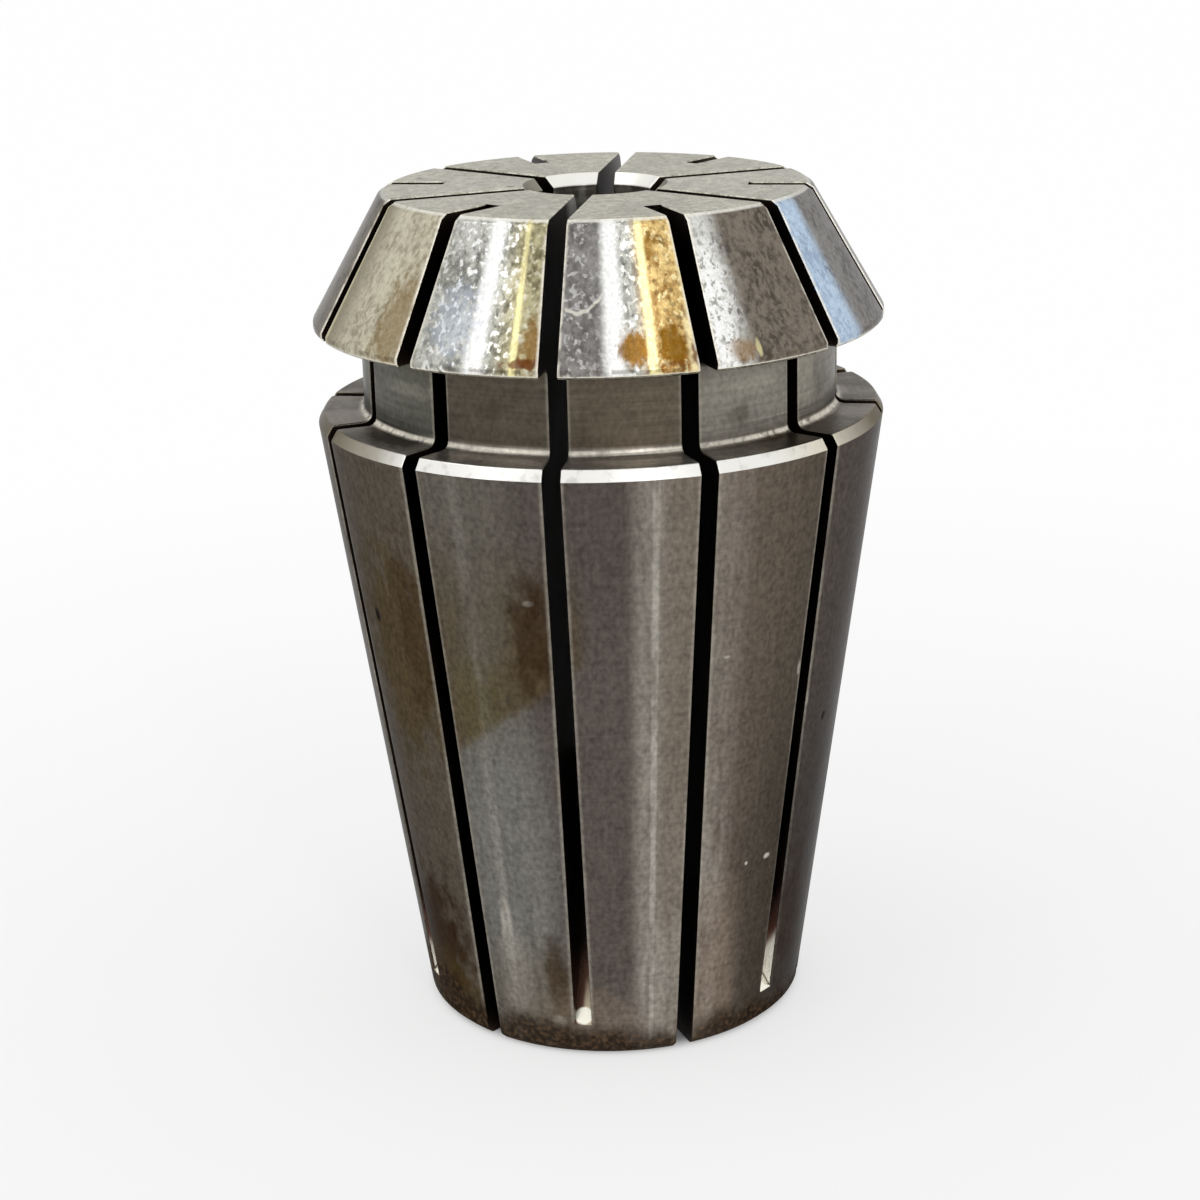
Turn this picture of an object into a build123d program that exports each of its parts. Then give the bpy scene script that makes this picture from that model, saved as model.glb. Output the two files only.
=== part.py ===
from build123d import *
import math
import os

# Spring collet with a double taper, made in one piece: a turned and bored blank, sawn from
# both ends so that twelve segments can close on a shank. Millimetres. Z is the axis, z = 0
# is the tail face and the nose face points up. One nose-side slot lies on -Y.

# Turned blank
length = 31.5  # tail face to nose face
body_diameter = 21.0  # large end of the long taper, and the rim of the nose cone
body_half_angle = 8.0  # long taper that seats in the holder
body_edge_height = 0.4  # bevel between the long taper and the groove, along the axis
body_edge_depth = 0.25  # the same bevel, across the axis
tail_edge = 0.25  # bevel round the tail face
groove_width = 3.1  # groove that the clamping nut snaps into
groove_diameter = 17.55
groove_fillet = 0.3  # radius left by the grooving tool in both corners
rim_land = 0.3  # narrow cylinder between the nose cone and the groove
rim_edge = 0.1  # bevel under the rim
nose_length = 4.9  # underside of the rim to the nose face
nose_half_angle = 30.0  # short cone that the nut presses on
nose_edge = 0.18  # bevel round the nose face

# Bore
bore_diameter = 4.5
mouth_chamfer = 0.4  # lead-in at the nose face
clamp_length = 18.0  # part of the bore that grips, behind the nose face
relief_diameter = 6.5  # wider bore behind the gripping part
relief_point_angle = 59.0  # half angle of the drill point that the relief ends in
relief_chamfer = 0.35  # bevel at the tail face

# Slots
slots_per_end = 6
slot_width = 0.63
saw_radius = 32.0
saw_reach = 0.5  # distance from the axis to the nearest point of the saw's rim
front_slot_end = 1.3  # height where a nose-side slot runs out of the long taper
rear_slot_end = 5.6  # radius where a tail-side slot runs out of the nose face
saw_clearance = 2.0  # how far the cuts run past the blank

# Sizes that follow from these
rim_underside = length - nose_length
body_top = rim_underside - groove_width
taper_top = body_top - body_edge_height
groove_radius = groove_diameter / 2
rim_radius = body_diameter / 2
cone_foot = rim_underside + rim_land
nose_radius = rim_radius - (length - cone_foot) * math.tan(math.radians(nose_half_angle))
slot_pitch = 360 / slots_per_end


def body_radius(height):
    """Radius of the long taper at a height above the tail face."""
    return body_diameter / 2 - (taper_top - height) * math.tan(math.radians(body_half_angle))


def corner(section, radius, height):
    """The corner of a half section that lies at this radius and height."""
    return section.vertices().sort_by_distance((radius, height))[0]


def blank():
    """Long taper, nut groove, rim and nose cone, turned as one half section."""
    tail_radius = body_radius(0)
    section = make_face(
        Polyline(
            (0, 0),
            (tail_radius, 0),
            (body_radius(taper_top), taper_top),
            (body_radius(taper_top) - body_edge_depth, body_top),
            (groove_radius, body_top),
            (groove_radius, rim_underside),
            (rim_radius, rim_underside),
            (rim_radius, cone_foot),
            (nose_radius, length),
            (0, length),
            close=True,
        )
    )
    section = chamfer(corner(section, tail_radius, 0), tail_edge)
    section = fillet(corner(section, groove_radius, body_top), groove_fillet)
    section = fillet(corner(section, groove_radius, rim_underside), groove_fillet)
    section = chamfer(corner(section, rim_radius, rim_underside), rim_edge)
    section = chamfer(corner(section, nose_radius, length), nose_edge)
    return revolve(Plane.XZ * section, Axis.Z)


def bore():
    """Gripping bore with a lead-in at the nose, and the wider relief drilled from the tail."""
    grip = bore_diameter / 2
    relief = relief_diameter / 2
    relief_top = length - clamp_length
    point_height = (relief - grip) / math.tan(math.radians(relief_point_angle))
    section = make_face(
        Polyline(
            (0, 0),
            (relief + relief_chamfer, 0),
            (relief, relief_chamfer),
            (relief, relief_top - point_height),
            (grip, relief_top),
            (grip, length - mouth_chamfer),
            (grip + mouth_chamfer, length),
            (0, length),
            close=True,
        )
    )
    return revolve(Plane.XZ * section, Axis.Z)


def saw_rise(radius):
    """Height of the saw's rim above or below its centre, at a radius from the collet's axis."""
    return math.sqrt(saw_radius**2 - (saw_reach + saw_radius - radius) ** 2)


def saw_cut(end_radius, end_height, side):
    """What the saw takes out in the +X half plane.

    side is 1 for a cut that stops towards the nose and -1 for one that stops towards the tail.
    The saw's rim leaves the blank at end_radius and end_height. Behind the rim the cut is
    straight, at the saw's reach from the axis, and open at the other end of the blank.
    """
    centre = end_height - side * saw_rise(end_radius)
    outside = rim_radius + saw_clearance
    middle = (saw_reach + outside) / 2
    open_end = -saw_clearance if side > 0 else length + saw_clearance
    start = (saw_reach, centre)
    stop = (outside, centre + side * saw_rise(outside))
    outline = make_face(
        [
            ThreePointArc(start, (middle, centre + side * saw_rise(middle)), stop),
            Polyline(stop, (outside, open_end), (saw_reach, open_end), start),
        ]
    )
    return extrude(Plane.XZ * outline, slot_width / 2, both=True)


def collet():
    """The blank with its bore and both sets of slots, half a pitch apart."""
    front_cut = saw_cut(body_radius(front_slot_end), front_slot_end, -1)
    rear_cut = saw_cut(rear_slot_end, length, 1)
    body = blank() - bore()
    for index in range(slots_per_end):
        front_angle = index * slot_pitch - 90
        body -= Rot(Z=front_angle) * front_cut
        body -= Rot(Z=front_angle + slot_pitch / 2) * rear_cut
    return body


os.makedirs("parts", exist_ok=True)
export_step(collet(), "parts/collet.step")
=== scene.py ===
import math
from collections import namedtuple

import bpy
import numpy as np
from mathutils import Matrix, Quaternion, Vector
from mathutils.geometry import delaunay_2d_cdt


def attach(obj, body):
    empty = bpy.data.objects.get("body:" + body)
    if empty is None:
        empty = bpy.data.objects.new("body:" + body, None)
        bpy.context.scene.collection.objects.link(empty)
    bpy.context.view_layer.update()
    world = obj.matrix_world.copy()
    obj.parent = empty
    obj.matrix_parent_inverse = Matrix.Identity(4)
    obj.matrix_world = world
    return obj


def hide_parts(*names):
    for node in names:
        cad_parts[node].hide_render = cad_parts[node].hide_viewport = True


# Spring collet, dressed as used tool steel. Sizes are in millimetres until a mesh is made.
# Z is the axis, the tail face is z = 0, and azimuth 0 is -Y, where a nose-side slot lies.

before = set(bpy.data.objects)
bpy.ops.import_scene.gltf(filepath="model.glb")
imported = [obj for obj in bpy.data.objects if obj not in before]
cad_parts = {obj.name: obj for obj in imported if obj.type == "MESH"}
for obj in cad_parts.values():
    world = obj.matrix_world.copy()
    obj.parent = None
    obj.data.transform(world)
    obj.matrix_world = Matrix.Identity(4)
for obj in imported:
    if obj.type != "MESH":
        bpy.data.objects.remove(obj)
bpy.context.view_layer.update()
MM = 0.001

# -- sizes of the collet
LENGTH = 31.5
TAPER_TOP = 23.1
BODY_TOP = 23.5
LARGE_RADIUS = 10.495
FLANGE_RADIUS = 10.25
TAPER_SLOPE = math.tan(math.radians(8.0))
TAIL_EDGE = 0.25
GROOVE_RADIUS = 8.775
GROOVE_FILLET = 0.3
RIM_UNDERSIDE = 26.6
RIM_EDGE = 0.1
CONE_FOOT = 26.9
NOSE_SLOPE = math.tan(math.radians(30.0))
NOSE_RADIUS = LARGE_RADIUS - (LENGTH - CONE_FOOT) * NOSE_SLOPE
NOSE_EDGE = 0.18
BORE_RADIUS = 2.25
MOUTH_CHAMFER = 0.4
BORE_END = 13.5
RELIEF_RADIUS = 3.25
RELIEF_TOP = 12.9
RELIEF_CHAMFER = 0.35
SLOTS_PER_END = 6
SLOT_HALF = 0.315
SAW_RADIUS = 32.0
SAW_AXIS = 32.5
FRONT_SLOT_END = 1.3
REAR_SLOT_END = 5.6
SECTOR = math.pi / SLOTS_PER_END
HALF_PITCH = 180.0 / SLOTS_PER_END
EDGE_ROUND = 0.06
SLOT_ROUND = 0.05

# How finely the surface is divided, and how near two places are the same.
ROW_SPACING = 0.7
ROWS_BY_SLOT_END = np.array([0, 0.02, 0.05, 0.1, 0.18, 0.3])
COLUMNS_BETWEEN_SLOTS = 10
RUNOUT_STEPS = 40
HAIR = 1e-9
WELD = 1e-7


# -- turned section
def rounded_run(corners, radii, steps=3):
    """Points and outward normals of a line through corners, each inner corner turned into an arc.

    An arc of radius q at a corner where the line turns by t starts q tan(t / 2) before the
    corner. Its centre is q to the inner side, and the normal turns evenly along it.
    """
    points = [corners[0]]
    normals = []
    for before, here, after, radius in zip(corners[:-2], corners[1:-1], corners[2:], radii):
        along_in = (here - before) / np.linalg.norm(here - before)
        along_out = (after - here) / np.linalg.norm(after - here)
        normal_in = np.array([along_in[1], -along_in[0]])
        turn = math.atan2(
            along_in[0] * along_out[1] - along_in[1] * along_out[0], along_in @ along_out
        )
        start = here - along_in * radius * math.tan(abs(turn) / 2)
        centre = start - normal_in * radius * math.copysign(1, turn)
        angles = np.linspace(0, turn, steps + 1)
        cos, sin = np.cos(angles), np.sin(angles)
        turned = np.column_stack(
            [normal_in[0] * cos - normal_in[1] * sin, normal_in[0] * sin + normal_in[1] * cos]
        )
        if not normals:
            normals.append(normal_in)
        points.extend(centre + turned * radius * math.copysign(1, turn))
        normals.extend(turned)
    points.append(corners[-1])
    normals.append(normals[-1])
    return np.array(points), np.array(normals)


def saw_rise(radius):
    """Height of the saw's rim above its centre: sqrt(R^2 - (axis - radius)^2)."""
    return np.sqrt(SAW_RADIUS**2 - (SAW_AXIS - radius) ** 2)


def taper_radius(height):
    """Radius of the long taper, straight from the tail to its large end."""
    return LARGE_RADIUS - (TAPER_TOP - height) * TAPER_SLOPE


FRONT_CENTRE = FRONT_SLOT_END + float(saw_rise(taper_radius(FRONT_SLOT_END)))
REAR_CENTRE = LENGTH - float(saw_rise(REAR_SLOT_END))
FRONT_ON_BORE = FRONT_CENTRE - float(saw_rise(RELIEF_RADIUS))
REAR_ON_BORE = REAR_CENTRE + float(saw_rise(BORE_RADIUS))


def section_rows():
    """Half section of the collet, from the nose-side slot's inner end by tail and nose and back.

    Gives radius, height, normal (across, upward) and the distance along the run of each row,
    and the distances where the two kinds of slot cross it.
    """
    tail = taper_radius(0)
    corners = [
        (RELIEF_RADIUS, FRONT_ON_BORE, 0),
        (RELIEF_RADIUS, RELIEF_CHAMFER, EDGE_ROUND),
        (RELIEF_RADIUS + RELIEF_CHAMFER, 0, EDGE_ROUND),
        (tail - TAIL_EDGE, 0, 2 * EDGE_ROUND),
        (taper_radius(TAIL_EDGE), TAIL_EDGE, 4 * EDGE_ROUND),
        (LARGE_RADIUS, TAPER_TOP, 2 * EDGE_ROUND),
        (FLANGE_RADIUS, BODY_TOP, 2 * EDGE_ROUND),
        (GROOVE_RADIUS, BODY_TOP, GROOVE_FILLET),
        (GROOVE_RADIUS, RIM_UNDERSIDE, GROOVE_FILLET),
        (LARGE_RADIUS - RIM_EDGE, RIM_UNDERSIDE, EDGE_ROUND),
        (LARGE_RADIUS, RIM_UNDERSIDE + RIM_EDGE, EDGE_ROUND),
        (LARGE_RADIUS, CONE_FOOT, 2 * EDGE_ROUND),
        (NOSE_RADIUS + NOSE_EDGE * NOSE_SLOPE, LENGTH - NOSE_EDGE, 2 * EDGE_ROUND),
        (NOSE_RADIUS - NOSE_EDGE, LENGTH, 2 * EDGE_ROUND),
        (BORE_RADIUS + MOUTH_CHAMFER, LENGTH, EDGE_ROUND),
        (BORE_RADIUS, LENGTH - MOUTH_CHAMFER, EDGE_ROUND),
        (BORE_RADIUS, BORE_END, EDGE_ROUND),
        (RELIEF_RADIUS, RELIEF_TOP, EDGE_ROUND),
        (RELIEF_RADIUS, FRONT_ON_BORE, 0),
    ]
    corners = np.array(corners)
    points, normals = rounded_run(corners[:, :2], corners[1:-1, 2])
    along = np.concatenate([[0], np.cumsum(np.linalg.norm(np.diff(points, axis=0), axis=1))])

    def distance_of(radius, height):
        """Distance along the run of a point on one of its straight stretches."""
        start, stretch = points[:-1], np.diff(points, axis=0)
        share = ((np.array([radius, height]) - start) * stretch).sum(1) / (stretch**2).sum(1)
        foot = start + stretch * share.clip(0, 1)[:, None]
        nearest = int(np.linalg.norm(foot - [radius, height], axis=1).argmin())
        return along[nearest] + share[nearest] * (along[nearest + 1] - along[nearest])

    crossings = {
        "front_outer": distance_of(taper_radius(FRONT_SLOT_END), FRONT_SLOT_END),
        "rear_outer": distance_of(REAR_SLOT_END, LENGTH),
        "rear_inner": distance_of(BORE_RADIUS, REAR_ON_BORE),
        "front_inner": along[-1],
    }
    near = ROWS_BY_SLOT_END
    rows = [near, along[-1] - near]
    for low, high in zip(along, along[1:]):
        rows.append(np.linspace(low, high, max(2, int((high - low) / ROW_SPACING) + 2)))
    for name in ("front_outer", "rear_outer", "rear_inner"):
        rows += [crossings[name] + near, crossings[name] - near]
    rows = np.unique(np.concatenate(rows).round(9))
    rows = rows[(rows >= 0) & (rows <= along[-1])]
    for value in crossings.values():
        rows[np.abs(rows - value).argmin()] = value
    radius, height = (np.interp(rows, along, points[:, i]) for i in (0, 1))
    across, upward = (np.interp(rows, along, normals[:, i]) for i in (0, 1))
    return radius, height, across, upward, rows, crossings


# -- shader arithmetic
def feed(socket, value):
    """Links a field to a socket, or sets it to a plain value."""
    if isinstance(value, Field):
        socket.id_data.links.new(value.socket, socket)
    else:
        socket.default_value = value


def maths(operation, *values):
    """Adds one Math node on fields and numbers."""
    tree = next(value.socket.id_data for value in values if isinstance(value, Field))
    node = tree.nodes.new("ShaderNodeMath")
    node.operation = operation
    for socket, value in zip(node.inputs, values):
        feed(socket, value)
    return Field(node.outputs[0])


def most(*fields):
    """The largest of several masks."""
    widest = fields[0]
    for field in fields[1:]:
        widest = maths("MAXIMUM", widest, field)
    return widest


def swing(noise):
    """Noise from 0 to 1 as a swing about 0."""
    return noise - 0.5


def length_of(across, along):
    """Length of a line with so much across and so much along: sqrt(across^2 + along^2)."""
    return (across * across + along * along) ** 0.5


class Field:
    """A socket that gives a value at each place of a surface, with arithmetic."""

    def __init__(self, socket):
        self.socket = socket

    def __add__(self, other):
        return maths("ADD", self, other)

    def __radd__(self, other):
        return maths("ADD", other, self)

    def __sub__(self, other):
        return maths("SUBTRACT", self, other)

    def __rsub__(self, other):
        return maths("SUBTRACT", other, self)

    def __mul__(self, other):
        return maths("MULTIPLY", self, other)

    def __rmul__(self, other):
        return maths("MULTIPLY", other, self)

    def __truediv__(self, other):
        return maths("DIVIDE", self, other)

    def __pow__(self, other):
        return maths("POWER", self, other)

    def __neg__(self):
        return maths("MULTIPLY", self, -1.0)

    def __abs__(self):
        return maths("ABSOLUTE", self)


class Nodes:
    """A node tree, and the way in which nodes other than Math nodes are added."""

    def __init__(self, owner):
        owner.use_nodes = True
        self.tree = owner.node_tree

    def node(self, kind, settings=None, inputs=None):
        """Adds a node: first its settings, then each socket's value or link. Gives its outputs."""
        node = self.tree.nodes.new(kind)
        for name, value in (settings or {}).items():
            if name == "stops":
                ramp = node.color_ramp
                for position, _ in value[2:]:
                    ramp.elements.new(position)
                for element, (position, colour) in zip(ramp.elements, value):
                    element.position = position
                    element.color = colour
            else:
                setattr(node, name, value)
        for name, value in (inputs or {}).items():
            feed(node.inputs[name], value)
        return [Field(output) for output in node.outputs if output.enabled]

    def seen(self):
        """1 where a ray comes straight from the camera, or by way of a mirror or glass."""
        path = self.node("ShaderNodeLightPath")[0].socket.node.outputs
        rays = ("Is Camera Ray", "Is Glossy Ray", "Is Transmission Ray")
        return most(*(Field(path[name]) for name in rays))


def tone(red, green, blue):
    """Shader colour from everyday 0 to 255 values."""
    share = np.array([red, green, blue]) / 255
    linear = np.where(share > 0.04045, ((share + 0.055) / 1.055) ** 2.4, share / 12.92)
    return (*linear.tolist(), 1.0)


# Light slot edges: their wear and a painted highlight.
EDGE_WEAR_AND_GLINT = tone(160, 154, 142)
FACED = tone(150, 146, 134)


class Finish(Nodes):
    """One finish of the steel: its nodes, and fields in millimetres and degrees."""

    def __init__(self, name):
        self.material = bpy.data.materials.new(name)
        super().__init__(self.material)
        self.shader = self.tree.nodes["Principled BSDF"]
        metres = self.node("ShaderNodeTexCoord")[3]
        inputs = {0: metres, "Scale": 1 / MM}
        self.place = self.node("ShaderNodeVectorMath", {"operation": "SCALE"}, inputs)[0]
        self.x, self.y, self.z = self.node("ShaderNodeSeparateXYZ", {}, {0: self.place})
        self.radius = length_of(self.x, self.y)
        self.azimuth = maths("ARCTAN2", self.x, -self.y) * math.degrees(1)

    def rise(self, field, low, high):
        """0 below low, 1 above high and smooth between. It falls where low is above high."""
        inputs = {"Value": field, "From Min": low, "From Max": high}
        return self.node("ShaderNodeMapRange", {"interpolation_type": "SMOOTHSTEP"}, inputs)[0]

    def between(self, field, start, full, fade, end):
        """1 where a field lies from full to fade, falling smoothly to 0 at start and at end."""
        return self.rise(field, start, full) * self.rise(field, end, fade)

    def blend(self, under, over, mask):
        """One colour laid over another by a mask."""
        return self.node("ShaderNodeMix", {"data_type": "RGBA"}, {0: mask, 6: under, 7: over})[0]

    def shade(self, colour, field):
        """A colour made lighter or darker by a field that is 1 on average."""
        settings = {"data_type": "RGBA", "blend_type": "MULTIPLY"}
        return self.node("ShaderNodeMix", settings, {0: 1.0, 6: colour, 7: field})[0]

    def stretched(self, across, upward, shift):
        """The place with so many cells a millimetre across and along the axis, and shifted."""
        inputs = {0: self.place, 1: (across, across, upward), 2: (shift, shift, shift)}
        return self.node("ShaderNodeVectorMath", {"operation": "MULTIPLY_ADD"}, inputs)[0]

    def noise(self, place, detail):
        """Noise from 0 to 1 with cells of size 1."""
        inputs = {"Vector": place, "Scale": 1.0, "Detail": detail}
        return self.node("ShaderNodeTexNoise", {}, inputs)[0]

    def grain(self, across, upward, detail=2.0, shift=0.0):
        """Noise from 0 to 1, with so many cells a millimetre across and along the axis."""
        return self.noise(self.stretched(across, upward, shift), detail)

    def lay(self, along, lines):
        """Tool lines: noise drawn out round the collet, with so many lines a millimetre."""
        round_axis = 0.15
        inputs = {0: self.x * round_axis, 1: self.y * round_axis, 2: along * lines}
        return self.noise(self.node("ShaderNodeCombineXYZ", {}, inputs)[0], 2.0)

    def specks(self, cells, size):
        """Small round spots, one in each of so many cells a millimetre, with a size in cells."""
        inputs = {"Vector": self.stretched(cells, cells, 0.0), "Scale": 1.0}
        return self.rise(self.node("ShaderNodeTexVoronoi", {}, inputs)[0], size, 0.5 * size)

    def patch(self, azimuth, height, wide, tall, ragged=0.0):
        """A soft spot at a place, so many degrees and millimetres to its rim, rough by a field."""
        across, upward = (self.azimuth - azimuth) / wide, (self.z - height) / tall
        return self.rise(length_of(across, upward) + ragged, 1.25, 0.5)

    def streak(self, azimuth, wide, ragged=0.0):
        """A band along the axis, so many degrees to each side of an azimuth, rough by a field."""
        return self.rise(abs(self.azimuth - azimuth) / wide + ragged, 1.2, 0.3)

    def patches(self, ragged, *rows):
        """Several patches, each with its azimuth, height, wide, tall, roughness and strength."""
        return most(*(
            self.patch(azimuth, height, wide, tall, ragged * rough) * strong
            for azimuth, height, wide, tall, rough, strong in rows
        ))

    def streaks(self, ragged, *rows):
        """Several streaks, each with its azimuth, wide, roughness and strength."""
        return most(*(
            self.streak(azimuth, wide, ragged * rough) * strong
            for azimuth, wide, rough, strong in rows
        ))

    def ring(self, height, wide):
        """A line round the collet at a height, so many millimetres to each side."""
        return self.rise(abs(self.z - height), wide, 0.04)

    def round_ramp(self, *stops):
        """Colour by azimuth, from pairs of degrees and colour."""
        share = [((azimuth + 180) / 360, colour) for azimuth, colour in stops]
        turn = self.azimuth / 360 + 0.5
        return self.node("ShaderNodeValToRGB", {"stops": share}, {0: turn})[0]

    def off_nose_slot(self):
        """Degrees from the middle of the nearest nose-side slot."""
        return maths("PINGPONG", self.azimuth, HALF_PITCH)

    def slot_edge(self, wide):
        """1 at the edge of a slot, falling to 0 so many millimetres from it."""
        off_slot = maths("PINGPONG", self.azimuth, HALF_PITCH / 2) * math.radians(1)
        return self.rise(self.radius * maths("SINE", off_slot) - SLOT_HALF, wide, 0.3 * wide)

    def side_slots(self):
        """1 away from the front slot, where light reaches the shallow ends of the slots."""
        return self.rise(abs(self.azimuth), 25, 35)

    def oiled_side(self):
        """1 on the left of the front, where old oil lies in the slot."""
        return self.between(self.azimuth, -100, -80, -50, -30)

    def steel(self, colour, roughness, height, depth, drawn=0.0, rim=0.5):
        """Finishes the steel with its colour, roughness and a relief so many millimetres deep.

        Drawn stretches the gloss across the tool lines, and rim is how bright it is at a slant.
        """
        quarter_turn = 0.25
        relief = self.node("ShaderNodeBump", {}, {"Distance": depth * MM, "Height": height})[0]
        values = {
            "Base Color": colour, "Roughness": roughness, "Normal": relief, "Metallic": 1.0,
            "Specular Tint": (rim, rim, rim, 1.0), "Anisotropic": drawn,
            "Anisotropic Rotation": quarter_turn,
        }
        for name, value in values.items():
            feed(self.shader.inputs[name], value)
        return self.material


# -- finishes of the collet
# Places on the collet are given as degrees of azimuth and millimetres of height.
def taper_burnish_and_sheen(f, ragged):
    """Where the ground taper is rubbed, lighter as a painted highlight: bands along the axis and
    spots near the foot.
    """
    low = f.rise(f.z, 14, 3)
    bands = f.streaks(
        ragged, (18.2, 4.0, 0.2, 0.3), (19.6, 1.1, 0.3, 0.8), (101, 3, 0.3, 0.45),
        (-128, 2.5, 0.3, 0.4), (27, 6, 0.2, low * 0.2), (34, 6.5, 0.3, 0.2 + low * 0.4),
        (-20, 1.8, 0.4, 0.12 + low * 0.3), (-10, 2.4, 0.4, low * 0.15),
    )
    spots = f.patches(
        ragged, (-20, 4.6, 2.0, 2.6, 0.4, 0.75), (-18, 3.0, 5.5, 2.2, 0.4, 0.5),
        (26, 3.2, 2.0, 3.6, 0.3, 0.35), (20.5, 3.2, 5.0, 3.6, 0.3, 0.5),
    )
    return most(bands, spots)


def taper_stain(f, ragged, cloud):
    """Where oil has dried on the taper: a large stain with a slanting lower edge, and two more."""
    above_edge = f.z - f.azimuth * 0.12 + ragged * 0.35
    run = f.rise(above_edge, 15.3, 15.9) * f.rise(f.z + ragged, 21.5, 17.5)
    run = run * f.rise(abs(f.azimuth + 15), 22, 16)
    thin = f.streak(-17, 6, ragged * 0.3) * f.rise(above_edge, 17.0, 19.0)
    run = run * (0.72 + f.rise(above_edge, 18.6, 16.8) * 0.28 - thin * 0.3)
    others = f.patches(ragged, (-42, 15.6, 14, 4.4, 1, 1), (148, 9, 14, 5, 1, 1))
    wiped = 1 - f.streak(-18.5, 2.2, ragged * 0.4) * 0.45
    return most(run, others) * f.rise(cloud, 0.15, 0.45) * wiped


def taper_deep_oil(f, ragged):
    """Where the dried oil on the taper is darkest."""
    return f.patches(
        ragged, (-5.5, 17.2, 5, 2.7, 1, 0.75), (-5.6, 18.2, 2.2, 0.8, 1.2, 0.9),
        (-51, 3.0, 17, 3.6, 1, 1), (-6.6, 3.2, 3.4, 1.8, 0.6, 0.8),
        (-36, 16.5, 5, 3.0, 1, 0.45), (-37, 19.2, 3, 0.9, 1, 0.4), (68, 4.2, 9, 3.0, 1, 0.45),
    )


def taper_nicks(f, ragged):
    """Where the taper is knocked down to bright steel, in small nicks."""
    rough = f.patches(
        ragged, (-6.4, 18.55, 1.2, 0.14, 1, 0.22), (53.2, 7.4, 1.2, 0.13, 0.5, 1),
        (57.2, 14.8, 0.7, 0.35, 1, 0.5), (62.2, 13.4, 0.6, 0.3, 1, 0.5),
        (36, 16.1, 0.9, 0.07, 1, 0.5), (-7, 1.4, 2.0, 0.3, 1, 0.25),
    )
    return most(rough, f.patch(46.0, 7.4, 0.5, 0.08), f.patch(-97, 10, 0.8, 0.1))


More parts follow.
